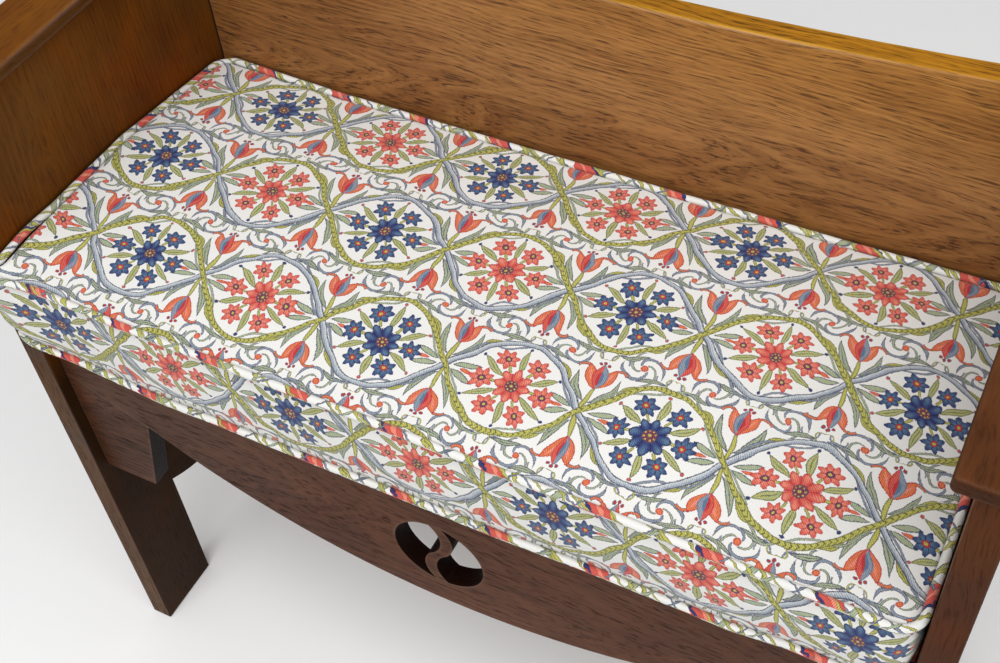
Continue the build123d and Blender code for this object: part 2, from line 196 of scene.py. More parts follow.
def colour(red, green, blue):
    """A screen colour from 0 to 255 as linear light."""
    parts = [v / 255 for v in (red, green, blue)]
    return tuple(v / 12.92 if v < 0.04045 else ((v + 0.055) / 1.055) ** 2.4 for v in parts) + (1.0,)


def group(name, inputs, outputs):
    """An empty node group with named sockets: its tree, its input node and its output node."""
    tree = bpy.data.node_groups.new(name, "ShaderNodeTree")
    for kind, sockets in (("INPUT", inputs), ("OUTPUT", outputs)):
        for label, socket_type in sockets:
            tree.interface.new_socket(label, in_out=kind, socket_type=socket_type)
    return tree, tree.nodes.new("NodeGroupInput"), tree.nodes.new("NodeGroupOutput")


def use(net, tree, **values):
    """A node group placed in a tree, with some inputs set by name."""
    node = net.nodes.new("ShaderNodeGroup")
    node.node_tree = tree
    for label, value in values.items():
        net.feed(node.inputs[label], value)
    return node


def material(name, roughness, specular=0.5, sheen=0.0):
    """A new material with its net and its surface shader, which holds the constant values itself."""
    made = bpy.data.materials.new(name)
    made.use_nodes = True
    net = Net(made.node_tree)
    shader = next(n for n in net.nodes if n.type == "BSDF_PRINCIPLED")
    shader.inputs["Roughness"].default_value = roughness
    shader.inputs["Specular IOR Level"].default_value = specular
    shader.inputs["Sheen Weight"].default_value = sheen
    return made, net, shader


def bump(net, height, strength, distance):
    """The normal of a surface with a small relief."""
    node = net.nodes.new("ShaderNodeBump")
    node.inputs["Strength"].default_value = strength
    node.inputs["Distance"].default_value = distance
    net.feed(node.inputs["Height"], height)
    return node.outputs["Normal"]


def openness(net, reach, inside=False):
    """How open the space before a face is within a reach, 0 to 1; with inside, how thick the piece is."""
    node = net.nodes.new("ShaderNodeAmbientOcclusion")
    node.samples = 6
    node.inside = inside
    node.only_local = inside
    node.inputs["Distance"].default_value = reach
    return Term(net, node.outputs["AO"])


# Oak: growth rings cut by the board's face, open pores in their early wood, patches, worn arrises with a
# painted highlight and painted shade in the corners
ARRIS_REACH = 0.0035
CORNER_SHADE_REACH = 0.005
PAINTED_CORNER_SHADE = (0.010, 0.006, 0.004, 1.0)
OAK_RELIEF = 0.00025


def oak_group():
    """Oak from its grain coordinates: along the grain, across it and into the board, in metres."""
    tree, given, out = group(
        "oak",
        [
            ("Grain", "NodeSocketVector"),
            ("Pale", "NodeSocketColor"),
            ("Deep", "NodeSocketColor"),
            ("Pore", "NodeSocketColor"),
            ("WearAndHighlight", "NodeSocketColor"),
            ("Figure", "NodeSocketFloat"),
        ],
        [("Color", "NodeSocketColor"), ("Height", "NodeSocketFloat"), ("Roughness", "NodeSocketFloat")],
    )
    net = Net(tree)
    along, across, deep = net.split(given.outputs["Grain"])
    drift = net.noise(net.vector(along * 1.3, across * 5.0, deep * 5.0), 1.0, 3.0, 0.55)
    wobble = net.noise(net.vector(along * 6.0, across * 26.0, deep * 26.0), 1.0, 3.0, 0.6)
    sway = (drift - 0.5) * 0.085 + (wobble - 0.5) * 0.012
    pith = net.length(across + 0.03 + sway * 0.6, deep + 0.055 + sway + along * 0.05)
    depth = across + deep
    rings = net.math("FRACT", pith * 235.0)
    early = net.ramp(abs(rings - 0.5), 0.5, 0.22)
    fibre = net.noise(net.vector(along * 9.0, across * 420.0, deep * 420.0), 1.0, 2.0, 0.6)
    ticks = net.noise(net.vector(along * 48.0, pith * 900.0, depth * 420.0), 1.0, 2.0, 0.6)
    pores = net.ramp(ticks, 0.50, 0.66) * net.ramp(early, 0.1, 0.9, 0.35, 1.0)
    streaks = net.noise(net.vector(along * 17.0, pith * 430.0, depth * 170.0), 1.0, 3.0, 0.7)
    flecks = net.ramp(streaks, 0.58, 0.72) * net.ramp(drift, 0.35, 0.62, 0.25, 1.0)
    patches = net.noise(net.vector(along * 1.6, across * 4.5, deep * 4.5), 1.7, 3.0, 0.6)
    bands = net.noise(net.vector(along * 3.0, pith * 60.0, depth * 12.0), 1.0, 2.0, 0.6)
    lines = net.noise(net.vector(along * 5.0, pith * 260.0, depth * 40.0), 1.0, 2.0, 0.55)
    blotches = net.noise(net.vector(along * 14.0, across * 26.0, deep * 26.0), 1.0, 3.0, 0.55)
    figure = Term(net, given.outputs["Figure"])
    tone = early * figure * 0.30 + net.ramp(patches, 0.36, 0.66) * 0.42 + (fibre - 0.5) * figure * 0.5
    tone = tone + ((bands - 0.5) * 0.6 + (lines - 0.5) * 0.9) * figure + (blotches - 0.5) * 0.7
    body = net.mix(net.clamped(tone), given.outputs["Pale"], given.outputs["Deep"])
    body = net.mix(net.math("MULTIPLY", flecks * figure, 0.55, clamp=True), body, given.outputs["Pore"])
    body = net.mix(net.math("MULTIPLY", pores * figure, 0.75, clamp=True), body, given.outputs["Pore"])
    # Pale arrises: partly real wear, partly a painted highlight along the rounded edges.
    thin = net.ramp(openness(net, ARRIS_REACH, inside=True), 0.93, 0.62)
    worn_and_lit_arris = thin * net.ramp(wobble, 0.35, 0.7, 0.25, 0.85)
    body = net.mix(worn_and_lit_arris, body, given.outputs["WearAndHighlight"])
    # Painted shade: darker in inside corners and next to other pieces.
    corner = net.ramp(openness(net, CORNER_SHADE_REACH), 0.75, 0.25)
    body = net.mix(corner * 0.6, body, PAINTED_CORNER_SHADE)
    net.feed(out.inputs["Color"], body)
    net.feed(out.inputs["Height"], early * -0.25 + pores * -1.0 + (fibre - 0.5) * 0.35)
    net.feed(out.inputs["Roughness"], net.ramp(patches, 0.3, 0.7, 0.36, 0.50) + pores * 0.25)
    return tree


oak = oak_group()
AXES = {"X": (0, 2, 1), "Y": (1, 0, 2), "Z": (2, 1, 0)}


def oak_material(name, grain, pale, deep, pore, wear_and_highlight, offset, figure=1.0, specular=0.12, tones=()):
    """Waxed oak whose grain runs along an axis, cut from the log at an offset.

    Each of the tones is a mask(net, x, y, z) and the colour that it multiplies by; many of them are painted
    shade or painted sheen.
    """
    made, net, shader = material(name, 0.4, specular=specular)
    place = net.nodes.new("ShaderNodeTexCoord").outputs["Object"]
    xyz = net.split(place)
    shifted = [xyz[i] + o for i, o in zip(AXES[grain], offset)]
    colours = {"Pale": pale, "Deep": deep, "Pore": pore, "WearAndHighlight": wear_and_highlight}
    wood = use(net, oak, Grain=net.vector(*shifted), Figure=figure, **colours)
    tint = wood.outputs["Color"]
    for mask, tone in tones:
        tint = net.mix(net.clamped(mask(net, *xyz)), tint, tone + (1.0,), blend="MULTIPLY")
    net.feed(shader.inputs["Base Color"], tint)
    net.feed(shader.inputs["Roughness"], wood.outputs["Roughness"])
    net.feed(shader.inputs["Normal"], bump(net, wood.outputs["Height"], 0.5, OAK_RELIEF))
    return made


# Masks of the boards' tones, from 0 to 1, by the place in metres or the way a face looks; many mark painted
# shade or sheen
END_FRONT = -0.165
END_INSIDE = 0.386
SEAT_HEIGHT = 0.48


def facing(net, axis):
    """How far a face looks along an axis, either way, from 0 to 1."""
    surface = net.nodes.new("ShaderNodeNewGeometry")
    return net.ramp(abs(net.split(surface.outputs["Normal"])[axis]), 0.5, 0.9)


def upward(net, x, y, z):
    return facing(net, 2)


def sideways(net, x, y, z):
    return 1.0 - facing(net, 2)


# Painted shade: faces that look neither forward nor back, such as inside the roundel and on the sides of the
# bar and brackets.
def painted_shade_off_front(net, x, y, z):
    return 1.0 - facing(net, 1)


# Painted shade: the back board darker towards the left end and down towards the seat, in soft clouds.
def painted_shade_on_back(net, x, y, z):
    cloud = net.noise(net.vector(x, y, z), 6.0, 2.0) - 0.5
    return net.ramp(x + cloud * 0.25, -0.08, -0.34).most(net.ramp(z + cloud * 0.10, 0.66, 0.57))


# Painted sheen: a brighter, warmer patch on the upper right of the back board.
def painted_sheen_on_back(net, x, y, z):
    return net.ramp(x, -0.30, 0.15) * net.ramp(z, 0.64, 0.73)


def back_joint(net, x, y, z):
    """The dark line where the back board meets the ends."""
    return net.ramp(abs(x), END_INSIDE - 0.0025, END_INSIDE - 0.0008)


# Painted shade: the ends darker from just below the arms down.
def painted_shade_on_ends(net, x, y, z):
    return net.ramp(z, 0.68, 0.58)


def end_amber(net, x, y, z):
    cloud = net.noise(net.vector(x, y, z), 8.0, 3.0, 0.5)
    return net.ramp(cloud, 0.50, 0.66)


def end_dull(net, x, y, z):
    cloud = net.noise(net.vector(x + 3.0, y * 0.8, z), 10.0, 3.0, 0.55)
    return net.ramp(cloud, 0.47, 0.62)


def painted_shade_under_seat(net, x, y, z):
    """Painted shade on the inner faces of the ends below the seat."""
    surface = net.nodes.new("ShaderNodeNewGeometry")
    inward = net.split(surface.outputs["Normal"])[0] * net.ramp(x, -0.01, 0.01, 1.0, -1.0)
    return net.ramp(inward, 0.5, 0.9) * net.ramp(z, SEAT_HEIGHT - 0.01, SEAT_HEIGHT - 0.06)


# Painted shade: the rail darker towards its left end.
def painted_shade_rail_left(net, x, y, z):
    return net.ramp(x, -0.10, -0.24)


def rail_right(net, x, y, z):
    return net.ramp(x, 0.06, 0.24)


def front_edge(net, y):
    """The front edges of the ends."""
    return net.ramp(y, END_FRONT + 0.0015, END_FRONT + 0.0005)


# Painted shade: the left end's front edge darker and greyer.
def painted_shade_left_front(net, x, y, z):
    return front_edge(net, y) * net.ramp(x, 0.01, -0.01)


# Painted shade: the right end's front edge darker.
def painted_shade_right_front(net, x, y, z):
    return front_edge(net, y) * net.ramp(x, -0.01, 0.01)


# Wooden and steel parts
def dress(names, made):
    """Gives a material to the CAD model's own nodes."""
    for name in names:
        node = nodes[name]
        node.data.materials.clear()
        node.data.materials.append(made)


dress(
    ["left_end", "right_end"],
    oak_material(
        "oak_ends",
        "Z",
        colour(118, 71, 20),
        colour(78, 39, 11),
        colour(36, 20, 12),
        colour(118, 82, 44),
        figure=0.42,
        specular=0.05,
        # Tones: painted shade below the arms, the wood's own amber and dull patches, then painted shade
        # under the seat and on both front edges.
        tones=[
            (painted_shade_on_ends, (0.80, 0.74, 0.74)),
            (end_amber, (1.32, 1.03, 0.50)),
            (end_dull, (0.86, 0.97, 1.5)),
            (painted_shade_under_seat, (0.24, 0.28, 0.50)),
            (painted_shade_left_front, (0.72, 1.02, 3.0)),
            (painted_shade_right_front, (0.50, 0.41, 0.66)),
        ],
        offset=(0.2, 0.05, 0.31),
    ),
)
dress(
    ["left_arm"],
    oak_material(
        "oak_left_arm",
        "Y",
        colour(118, 68, 10),
        colour(80, 39, 5),
        colour(46, 26, 12),
        colour(186, 140, 90),
        figure=0.5,
        specular=0.08,
        # Painted sheen: the arm's side and end faces greyed, as by a reflected haze.
        tones=[(sideways, (0.68, 0.84, 2.1))],
        offset=(0.4, 0.38, -0.7),
    ),
)
dress(
    ["right_arm"],
    oak_material(
        "oak_right_arm",
        "Y",
        colour(102, 60, 32),
        colour(58, 32, 17),
        colour(34, 20, 14),
        colour(132, 96, 70),
        figure=0.5,
        specular=0.05,
        # Painted shade: the side and end faces of the arm much darker, and its top a little darker.
        tones=[(upward, (0.86, 0.84, 0.84)), (sideways, (0.52, 0.50, 0.55))],
        offset=(0.9, -0.40, -0.72),
    ),
)
dress(
    ["back_board"],
    oak_material(
        "oak_back",
        "X",
        colour(178, 126, 76),
        colour(128, 82, 46),
        colour(52, 32, 28),
        colour(226, 186, 160),
        # Tones: painted shade to the left and low down, a painted sheen at the upper right, the golden top
        # face and the dark joints.
        tones=[
            (painted_shade_on_back, (0.78, 0.72, 0.60)),
            (painted_sheen_on_back, (1.14, 1.10, 0.74)),
            (upward, (0.90, 0.83, 0.13)),
            (back_joint, (0.20, 0.17, 0.15)),
        ],
        offset=(0.1, -0.62, -0.15),
    ),
)
dress(
    ["front_rail", "rail_roundel_bar", "left_rail_bracket", "right_rail_bracket"],
    oak_material(
        "oak_rail",
        "X",
        colour(100, 58, 34),
        colour(62, 33, 20),
        colour(26, 16, 12),
        colour(104, 74, 56),
        figure=0.85,
        specular=0.08,
        # Tones: painted shade on the faces that don't look forward and towards the left end; the right part
        # a little darker and redder.
        tones=[
            (painted_shade_off_front, (0.10, 0.08, 0.09)),
            (painted_shade_rail_left, (0.74, 0.80, 0.86)),
            (rail_right, (0.84, 0.82, 0.76)),
        ],
        offset=(0.6, -0.40, 0.16),
    ),
)
dress(
    ["rear_seat_rail"],
    oak_material(
        "oak_rear_rail",
        "X",
        colour(128, 84, 46),
        colour(88, 54, 30),
        colour(46, 30, 22),
        colour(140, 104, 74),
        offset=(1.4, -0.43, -0.16),
    ),
)
dress(
    [f"seat_board_{n}" for n in (1, 2, 3, 4)],
    oak_material(
        "seat_boards",
        "X",
        colour(196, 160, 108),
        colour(150, 112, 66),
        colour(96, 70, 46),
        colour(206, 176, 130),
        offset=(2.2, 0.02, -0.40),
    ),
)
dress(
    ["left_seat_bearer", "right_seat_bearer", "centre_seat_bearer"],
    oak_material(
        "bearers",
        "Y",
        colour(190, 152, 100),
        colour(142, 104, 60),
        colour(90, 64, 42),
        colour(200, 168, 122),
        offset=(0.7, 0.1, -0.40),
    ),
)
dress(
    [
        "front_left_glue_block",
        "front_right_glue_block",
        "rear_left_glue_block",
        "rear_right_glue_block",
        "arm_dowels",
        "back_board_dowels",
        "bracket_dowels",
    ],
    oak_material(
        "blocks",
        "Z",
        colour(186, 148, 98),
        colour(140, 102, 60),
        colour(90, 64, 42),
        colour(198, 166, 120),
        offset=(0.1, 0.3, 0.2),
    ),
)


def steel_material():
    """Dull steel with darker spots, for the hidden screws and pins."""
    made, net, shader = material("steel", 0.45)
    shader.inputs["Metallic"].default_value = 1.0
    place = net.nodes.new("ShaderNodeTexCoord").outputs["Object"]
    spots = net.noise(place, 900.0, 3.0, 0.6)
    net.feed(shader.inputs["Base Color"], net.mix(spots, colour(170, 168, 164), colour(112, 104, 98)))
    net.feed(shader.inputs["Roughness"], net.ramp(spots, 0.3, 0.7, 0.35, 0.6))
    net.feed(shader.inputs["Normal"], bump(net, spots, 0.3, 0.0001))
    return made


dress(["bearer_screws", "seat_board_pins"], steel_material())

# Fabric, in millimetres: a half-drop weave of two stems with wreaths in its eyes and sprigs at the crossings
MM = 1000.0
GROUND = colour(232, 231, 227)
OUTLINE = colour(78, 80, 98)
CORAL = colour(214, 92, 80)
SALMON = colour(236, 142, 118)
RED = colour(190, 54, 60)
NAVY = colour(50, 62, 116)
DENIM = colour(92, 122, 150)
INK = colour(36, 42, 80)
SAGE = colour(170, 180, 146)
OLIVE = colour(192, 188, 96)
MOSS = colour(112, 112, 66)
MIST = colour(140, 150, 164)
SILVER = colour(206, 212, 214)
ORANGE = colour(222, 120, 78)
PLUM = colour(124, 52, 84)
REPEAT = 112.0
ROW = 103.0
SWING = 42.0
RIPPLE = 6.5
SHARPNESS = 2.2


def paint(net, under, distance, fill, edge, edge_width=0.7):
    """Lays a shape over a colour: its edge colour where distance is below zero, its fill further in."""
    outer = net.math("MULTIPLY_ADD", distance, -SHARPNESS, 0.5, clamp=True)
    if not edge_width:
        return net.mix(outer, under, fill)
    inner = net.math("MULTIPLY_ADD", distance, -SHARPNESS, 0.5 - edge_width * SHARPNESS, clamp=True)
    return net.mix(inner, net.mix(outer, under, edge), fill)


def lens(net, u, v, half_length, half_width):
    """Distance-like value of a pointed leaf along u."""
    out = u / half_length
    return abs(v) - (1.0 - out * out) * half_width


def fold_of(net, angle, count, shift=0.0):
    """How far an angle is from the middle of its petal, from 0 to 0.5 of a petal, with its sign."""
    return net.wrap(angle * (count / (2 * math.pi)) + shift, 0.5)


def scroll(net, tint, side, up):
    """A scroll of two arms between four stems; as its own half turn it carries over the edge of a row."""
    du, dv = side - REPEAT / 4, up - ROW / 2
    reach = net.length(du, dv)
    angle = net.math("ARCTAN2", dv, du)
    for pitch, start, size, width, hue in ((17.0, 0.0, 17.0, 1.4, MIST), (17.0, 8.2, 15.0, 1.1, SAGE)):
        coil = abs(net.wrap(reach + angle * (pitch / math.pi) + start, pitch / 2)) - width
        tint = paint(net, tint, coil.most(reach - size).most(3.2 - reach), hue, OUTLINE, 0.5)
    return paint(net, tint, reach - 2.7, ORANGE, RED)


def hooks_and_leaves(net, tint, side, up):
    """Open hooks beside the bud, thin loops over the eye and slender leaves from the crossing."""
    hook = abs(net.length(side - 13.5, up - 37.0) - 6.6) - 1.3
    tint = paint(net, tint, hook.most((side - 15.0) * 0.9 - (up - 37.0)), ORANGE, OUTLINE, 0.5)
    ring = abs(net.length(side - 46.0, up - 50.5) - 6.4) - 0.6
    tint = paint(net, tint, ring.most(up - 51.4), MIST, OUTLINE, 0.3)
    ring = abs(net.length(side - 54.0, up - 47.5) - 4.2) - 0.6
    tint = paint(net, tint, ring, OLIVE, MOSS, 0.3)
    for cu, cv, degrees, half_length, half_width, bow, fill, edge in (
        (12.5, 21.0, 62.0, 16.0, 2.9, 0.016, SAGE, OUTLINE),
        (24.0, 31.0, 40.0, 11.0, 2.1, -0.02, OLIVE, MOSS),
        (38.0, 44.5, 12.0, 12.0, 2.2, -0.012, SAGE, OUTLINE),
    ):
        along, over = net.turned(side - cu, up - cv, degrees)
        bend = over - along * along * bow
        tint = paint(net, tint, lens(net, along, bend, half_length, half_width), fill, edge)
        tint = paint(net, tint, lens(net, along, bend, half_length * 0.75, 0.3), edge, edge, 0.0)
    return tint


def bud(net, tint, side, up, other):
    """A warm teardrop between two petals over the crossing, on a short stalk, with berries at its tip."""
    tint = paint(net, tint, lens(net, up - 13.0, side, 15.0, 2.0), OLIVE, MOSS)
    along, over = net.turned(side - 5.6, up - 33.5, 64.0)
    tint = paint(net, tint, lens(net, along, over, 12.0, 4.6), ORANGE, RED)
    tint = paint(net, tint, lens(net, along - 1.0, over, 7.0, 1.1), SALMON, SALMON, 0.0)
    cool = net.mix(other, RED, DENIM)
    tint = paint(net, tint, lens(net, up - 35.0, side, 12.5, 5.4), net.mix(other, CORAL, MIST), cool)
    tint = paint(net, tint, lens(net, up - 33.0, side, 7.0, 2.4), cool, cool, 0.0)
    for beside, below in ((0.0, 0.0), (3.4, 1.7)):
        berry = net.length(side - beside, up - 48.3 + below) - 1.5
        tint = paint(net, tint, berry, RED, OUTLINE, 0.5)
    return tint


def stems(net, tint, u, v, turn, hatch):
    """Two stems that cross, one shaded and one plaited, with a thin tendril about each."""
    swing = turn.cos() * SWING
    lean = turn.sin() * (-SWING * math.pi / REPEAT)
    steep = net.math("SQRT", lean * lean + 1.0)
    ripple = (turn * 4.0).sin()
    for sign, hue in ((1.0, SAGE), (-1.0, MIST)):
        slope = lean * sign + (turn * 4.0).cos() * (RIPPLE * 4 * math.pi / REPEAT)
        away = abs(v - swing * sign - ripple * RIPPLE) / net.math("SQRT", slope * slope + 1.0)
        tint = paint(net, tint, away - 0.95, hue, OUTLINE, 0.35)
    shaded = abs(v + swing) / steep - 2.6
    pale = net.ramp(v + swing + (hatch - 0.5) * 2.0, -2.2, 2.2)
    tint = paint(net, tint, shaded, net.mix(pale, MIST, SILVER), OUTLINE, 0.8)
    plaited = abs(v - swing) / steep - 2.4
    plait = net.ramp(abs(net.wrap(u + abs(v - swing) * 0.9, 1.9)), 0.35, 0.8)
    return paint(net, tint, plaited, net.mix(plait, MOSS, OLIVE), MOSS, 0.6)


def crossing_leaves(net, tint, side, up):
    """Leaves in the crossing of the stems."""
    along, over = net.turned(side - 17.0, up - 4.8, 16.0)
    tint = paint(net, tint, lens(net, along, over, 11.0, 2.7), SAGE, OUTLINE)
    return paint(net, tint, lens(net, side - 19.5, up, 6.0, 1.6), ORANGE, RED, 0.5)


def wreath(net, tint, away, angle, twill, other):
    """Six blooms on stalks about the larger one, with leaves between them."""
    sixth = 2 * math.pi / 6
    gap = fold_of(net, angle, 6, 0.5) * sixth
    along, over = away * gap.cos() - 23.5, away * gap.sin()
    tint = paint(net, tint, lens(net, along, over, 12.5, 3.0), net.mix(twill, OLIVE, SAGE), MOSS)
    tint = paint(net, tint, lens(net, along, over, 9.5, 0.35), MOSS, MOSS, 0.0)
    tip = net.length(along - 13.6, over) - 1.5
    tint = paint(net, tint, tip, net.mix(other, NAVY, CORAL), OUTLINE, 0.4)
    sector = fold_of(net, angle, 6) * sixth
    along, over = away * sector.cos() - 25.5, away * sector.sin()
    tint = paint(net, tint, (abs(over) - 1.1).most(along).most(-13.0 - along), OLIVE, MOSS, 0.5)
    small = net.length(along, over)
    lobe = abs(fold_of(net, net.math("ARCTAN2", over, along), 7))
    rim = small - 9.6 + net.math("POWER", lobe * 2.0, 1.4) * 4.4
    petal = net.mix(net.ramp(small, 3.0, 8.5), net.mix(other, SALMON, DENIM), net.mix(other, CORAL, NAVY))
    dark = net.mix(other, RED, INK)
    tint = paint(net, tint, rim, petal, dark, 0.6)
    parting = ((0.5 - lobe) * small * 0.9 - 0.35).most(small - 6.5)
    tint = paint(net, tint, parting, dark, RED, 0.0)
    tint = paint(net, tint, small - 2.9, net.mix(other, PLUM, RED), OUTLINE, 0.4)
    return paint(net, tint, small - 1.2, OLIVE, OLIVE, 0.0)


def large_bloom(net, tint, away, angle, other):
    """Eight pointed petals with a dark line between them and a dotted heart."""
    dark = net.mix(other, RED, INK)
    fold = abs(fold_of(net, angle, 8))
    rim = away - 15.5 + net.math("POWER", fold * 2.0, 1.5) * 6.0
    tint = paint(net, tint, rim, net.mix(other, CORAL, NAVY), dark, 0.8)
    blush = net.ramp(away, 5.5, 11.0) * net.ramp(fold, 0.32, 0.08) * net.ramp(rim, -0.8, -2.2)
    blush = net.math("MULTIPLY", blush, 0.95, clamp=True)
    tint = net.mix(blush, tint, net.mix(other, SALMON, DENIM))
    parting = ((0.5 - fold) * away * 0.78 - 0.45).most(away - 11.5)
    tint = paint(net, tint, parting, dark, OUTLINE, 0.0)
    tint = paint(net, tint, away - 5.2, PLUM, OUTLINE, 0.5)
    seed = fold_of(net, angle, 8, 0.5)
    tint = paint(net, tint, net.length(seed * 3.0, away - 3.7) - 0.8, OLIVE, MOSS, 0.2)
    return paint(net, tint, away - 1.5, OLIVE, MOSS, 0.4)


def fabric_group():
    """The cover's weave: u and v run across and up a repeat, and other is 0 or 1 by turns of the repeats."""
    tree, given, out = group(
        "woven_cloth",
        [("Cloth", "NodeSocketVector")],
        [("Color", "NodeSocketColor"), ("Height", "NodeSocketFloat")],
    )
    net = Net(tree)
    u, v, _ = net.split(given.outputs["Cloth"])
    warp = (u * (2 * math.pi / 1.1)).sin()
    weft = (v * (2 * math.pi / 0.9)).sin()
    flat = net.vector(u, v)
    for scale, reach in ((0.035, 9.0), (0.9, 1.5)):
        unsteady = net.nodes.new("ShaderNodeSeparateColor")
        net.feed(unsteady.inputs[0], net.noise(flat, scale, 1.0, colour=True))
        u = u + (Term(net, unsteady.outputs[0]) - 0.5) * reach
        v = v + (Term(net, unsteady.outputs[1]) - 0.5) * reach
    row = net.math("FLOOR", v / ROW + 0.5)
    v = net.wrap(v, ROW / 2)
    u = u + net.math("FLOORED_MODULO", row, 2.0) * (REPEAT / 2)
    column = net.math("FLOOR", u / REPEAT + 0.5)
    other = net.math("FLOORED_MODULO", column + row, 2.0)
    turn = u * (math.pi / REPEAT)
    u = net.wrap(u, REPEAT / 2)
    side = abs(net.wrap(u + REPEAT / 2, REPEAT / 2))
    up = abs(v)
    away = net.length(u, v)
    angle = net.math("ARCTAN2", v, u)
    hatch = abs(net.wrap(u + v * 0.8, 0.8)) / 0.8
    twill = abs(net.wrap(u * 0.7 - v, 1.0))
    tint = scroll(net, GROUND, side, up)
    tint = hooks_and_leaves(net, tint, side, up)
    tint = bud(net, tint, side, up, other)
    tint = stems(net, tint, u, v, turn, hatch)
    tint = crossing_leaves(net, tint, side, up)
    tint = wreath(net, tint, away, angle, twill, other)
    tint = large_bloom(net, tint, away, angle, other)
    finish_weave(net, out, tint, flat, hatch, warp * weft)
    return tree


def finish_weave(net, out, tint, flat, hatch, rib):
    """Hatching of the floats and the fine rib of the ground."""
    shown = net.nodes.new("ShaderNodeSeparateColor")
    net.feed(shown.inputs[0], tint)
    floats = net.ramp(Term(net, shown.outputs[2]), 0.78, 0.45)
    dark = net.mix(net.ramp(hatch, 0.12, 0.55), (0.34, 0.35, 0.44, 1.0), (1.06, 1.06, 1.06, 1))
    worked = net.mix(floats * 0.62 + 0.05, tint, dark, blend="MULTIPLY")
    mottle = net.noise(flat, 0.9, 2.0, 0.6)
    tint = net.mix(net.ramp(mottle, 0.3, 0.7, 0.0, 0.12), worked, (0.55, 0.55, 0.53, 1.0), blend="MULTIPLY")
    net.feed(out.inputs["Color"], tint)
    net.feed(out.inputs["Height"], rib * 0.5 + hatch * 0.3)


def cord_group():
    """The same weave cut on the bias in a strip so narrow that only slanting snippets of its shapes show."""
    tree, given, out = group(
        "bias_strip",
        [("Cloth", "NodeSocketVector")],
        [("Color", "NodeSocketColor"), ("Height", "NodeSocketFloat")],
    )
    net = Net(tree)
    u, v, _ = net.split(given.outputs["Cloth"])
    flat = net.vector(u, v)
    warp = ((u + v) * (2 * math.pi / 1.5)).sin()
    weft = ((u - v) * (2 * math.pi / 1.3)).sin()
    hatch = abs(net.wrap(u - v * 0.5, 0.8)) / 0.8
    u = u + (net.noise(flat, 0.16, 2.0) - 0.5) * 9.0
    tint = GROUND
    for slant, shift, period, half_width, fill, edge in (
        (1.1, 4.0, 33.0, 1.4, MIST, OUTLINE),
        (-0.8, 31.0, 71.0, 3.2, SAGE, OUTLINE),
        (0.7, 12.0, 37.0, 2.0, OLIVE, MOSS),
        (1.3, 8.0, 29.0, 1.5, OLIVE, MOSS),
        (-1.2, 17.0, 41.0, 1.8, SAGE, OUTLINE),
        (0.5, 21.0, 83.0, 9.5, CORAL, RED),
        (0.9, 27.0, 83.0, 1.6, NAVY, INK),
        (1.2, 37.0, 61.0, 2.2, OLIVE, MOSS),
        (-1.0, 66.0, 53.0, 1.1, MIST, OUTLINE),
    ):
        snippet = abs(net.wrap(u + v * slant + shift, period / 2)) - half_width
        tint = paint(net, tint, snippet, fill, edge)
    ragged = abs(net.wrap(u + v * 0.9 + 17.0, 83.0 / 2)) - 2.4
    tint = paint(net, tint, ragged, SALMON, RED, 0.4)
    finish_weave(net, out, tint, flat, hatch, warp * weft)
    return tree


FOLD_REACH = 0.012
FOLD_SHADE = (0.42, 0.40, 0.38, 1.0)
CLOTH_RELIEF = 0.0003


def cloth_material(name, tree, crease=0.0):
    """Matt woven cloth laid out by the mesh's cloth coordinates, with painted shade in its creases and where
    it meets other pieces.
    """
    made, net, shader = material(name, 0.85, specular=0.25, sheen=0.15)
    shader.inputs["Sheen Roughness"].default_value = 0.5
    uv = net.nodes.new("ShaderNodeUVMap")
    uv.uv_map = "cloth"
    x, y, _ = net.split(uv.outputs["UV"])
    x, y = x * MM, y * MM
    weave = use(net, tree, Cloth=net.vector(x, y))
    hidden = net.ramp(openness(net, FOLD_REACH), 0.85, 0.25, 0.0, 0.6)
    tint = net.mix(hidden, weave.outputs["Color"], FOLD_SHADE, blend="MULTIPLY")
    net.feed(shader.inputs["Base Color"], tint)
    height = Term(net, weave.outputs["Height"])
    if crease:
        folds = net.noise(net.vector(x, y * 0.25), 0.28, 2.0, 0.6)
        height = height + folds * crease
    net.feed(shader.inputs["Normal"], bump(net, height, 0.35, CLOTH_RELIEF))
    return made


# Cushion: its plan and seam heights are the solids' own, its cords are slimmer and its ends straighter
CUSHION_X = 0.3857
CUSHION_FRONT = -0.177
CUSHION_REAR = 0.1527
CORNER_RADIUS = 0.022
SIDE_DRAW = 0.003
END_DRAW = 0.0003
SEAM_LOW = 0.4851
SEAM_HIGH = 0.5705
SEAM_RISE = SEAM_HIGH - SEAM_LOW
SEAM_INSET = 0.0058
ON_SEAM = 1e-5
CROWN = 0.0135
CROWN_REACH = 0.020
SEAM_DIP = 0.0017
SEAM_DIP_REACH = 0.004
BAND_BULGE = 0.0028
BAND_SWELL = 0.0016
PIPING_RADIUS = 0.0036

# The tight fit: how far the left side rides up, that front corner spills and the band's foot is drawn in
LEFT_LIFT = 0.0247
LEFT_LIFT_REACH = 0.055
LEFT_LIFT_FADE = (0.19, 0.0)
CORNER_LIFT = 0.045
CORNER_LIFT_REACH = 0.018
SPILL_FORWARD = 0.0135
SPILL_LEFT = 0.020
SPILL_REACH = 0.030
PAST_END = (-0.167, -0.172)
FOOT_DRAW_FADE = (-0.10, -0.15)
FOOT_DRAWS = ((0.0050, -0.24, -0.34), (0.0030, 0.07, 0.16), (0.0040, 0.26, 0.30))

# Unevenness of the filled cover
WAVER = 0.0011
BAND_WAVER = 0.0012
PUCKER = 0.0009
PUCKER_REACH = 0.018
UNDERSIDE_SAG = 0.0034
PAST_SEAM = 0.0005


def share(value, start, end):
    """How far a value has come from start to end, from 0 to 1."""
    return min(max((value - start) / (end - start), 0.0), 1.0)


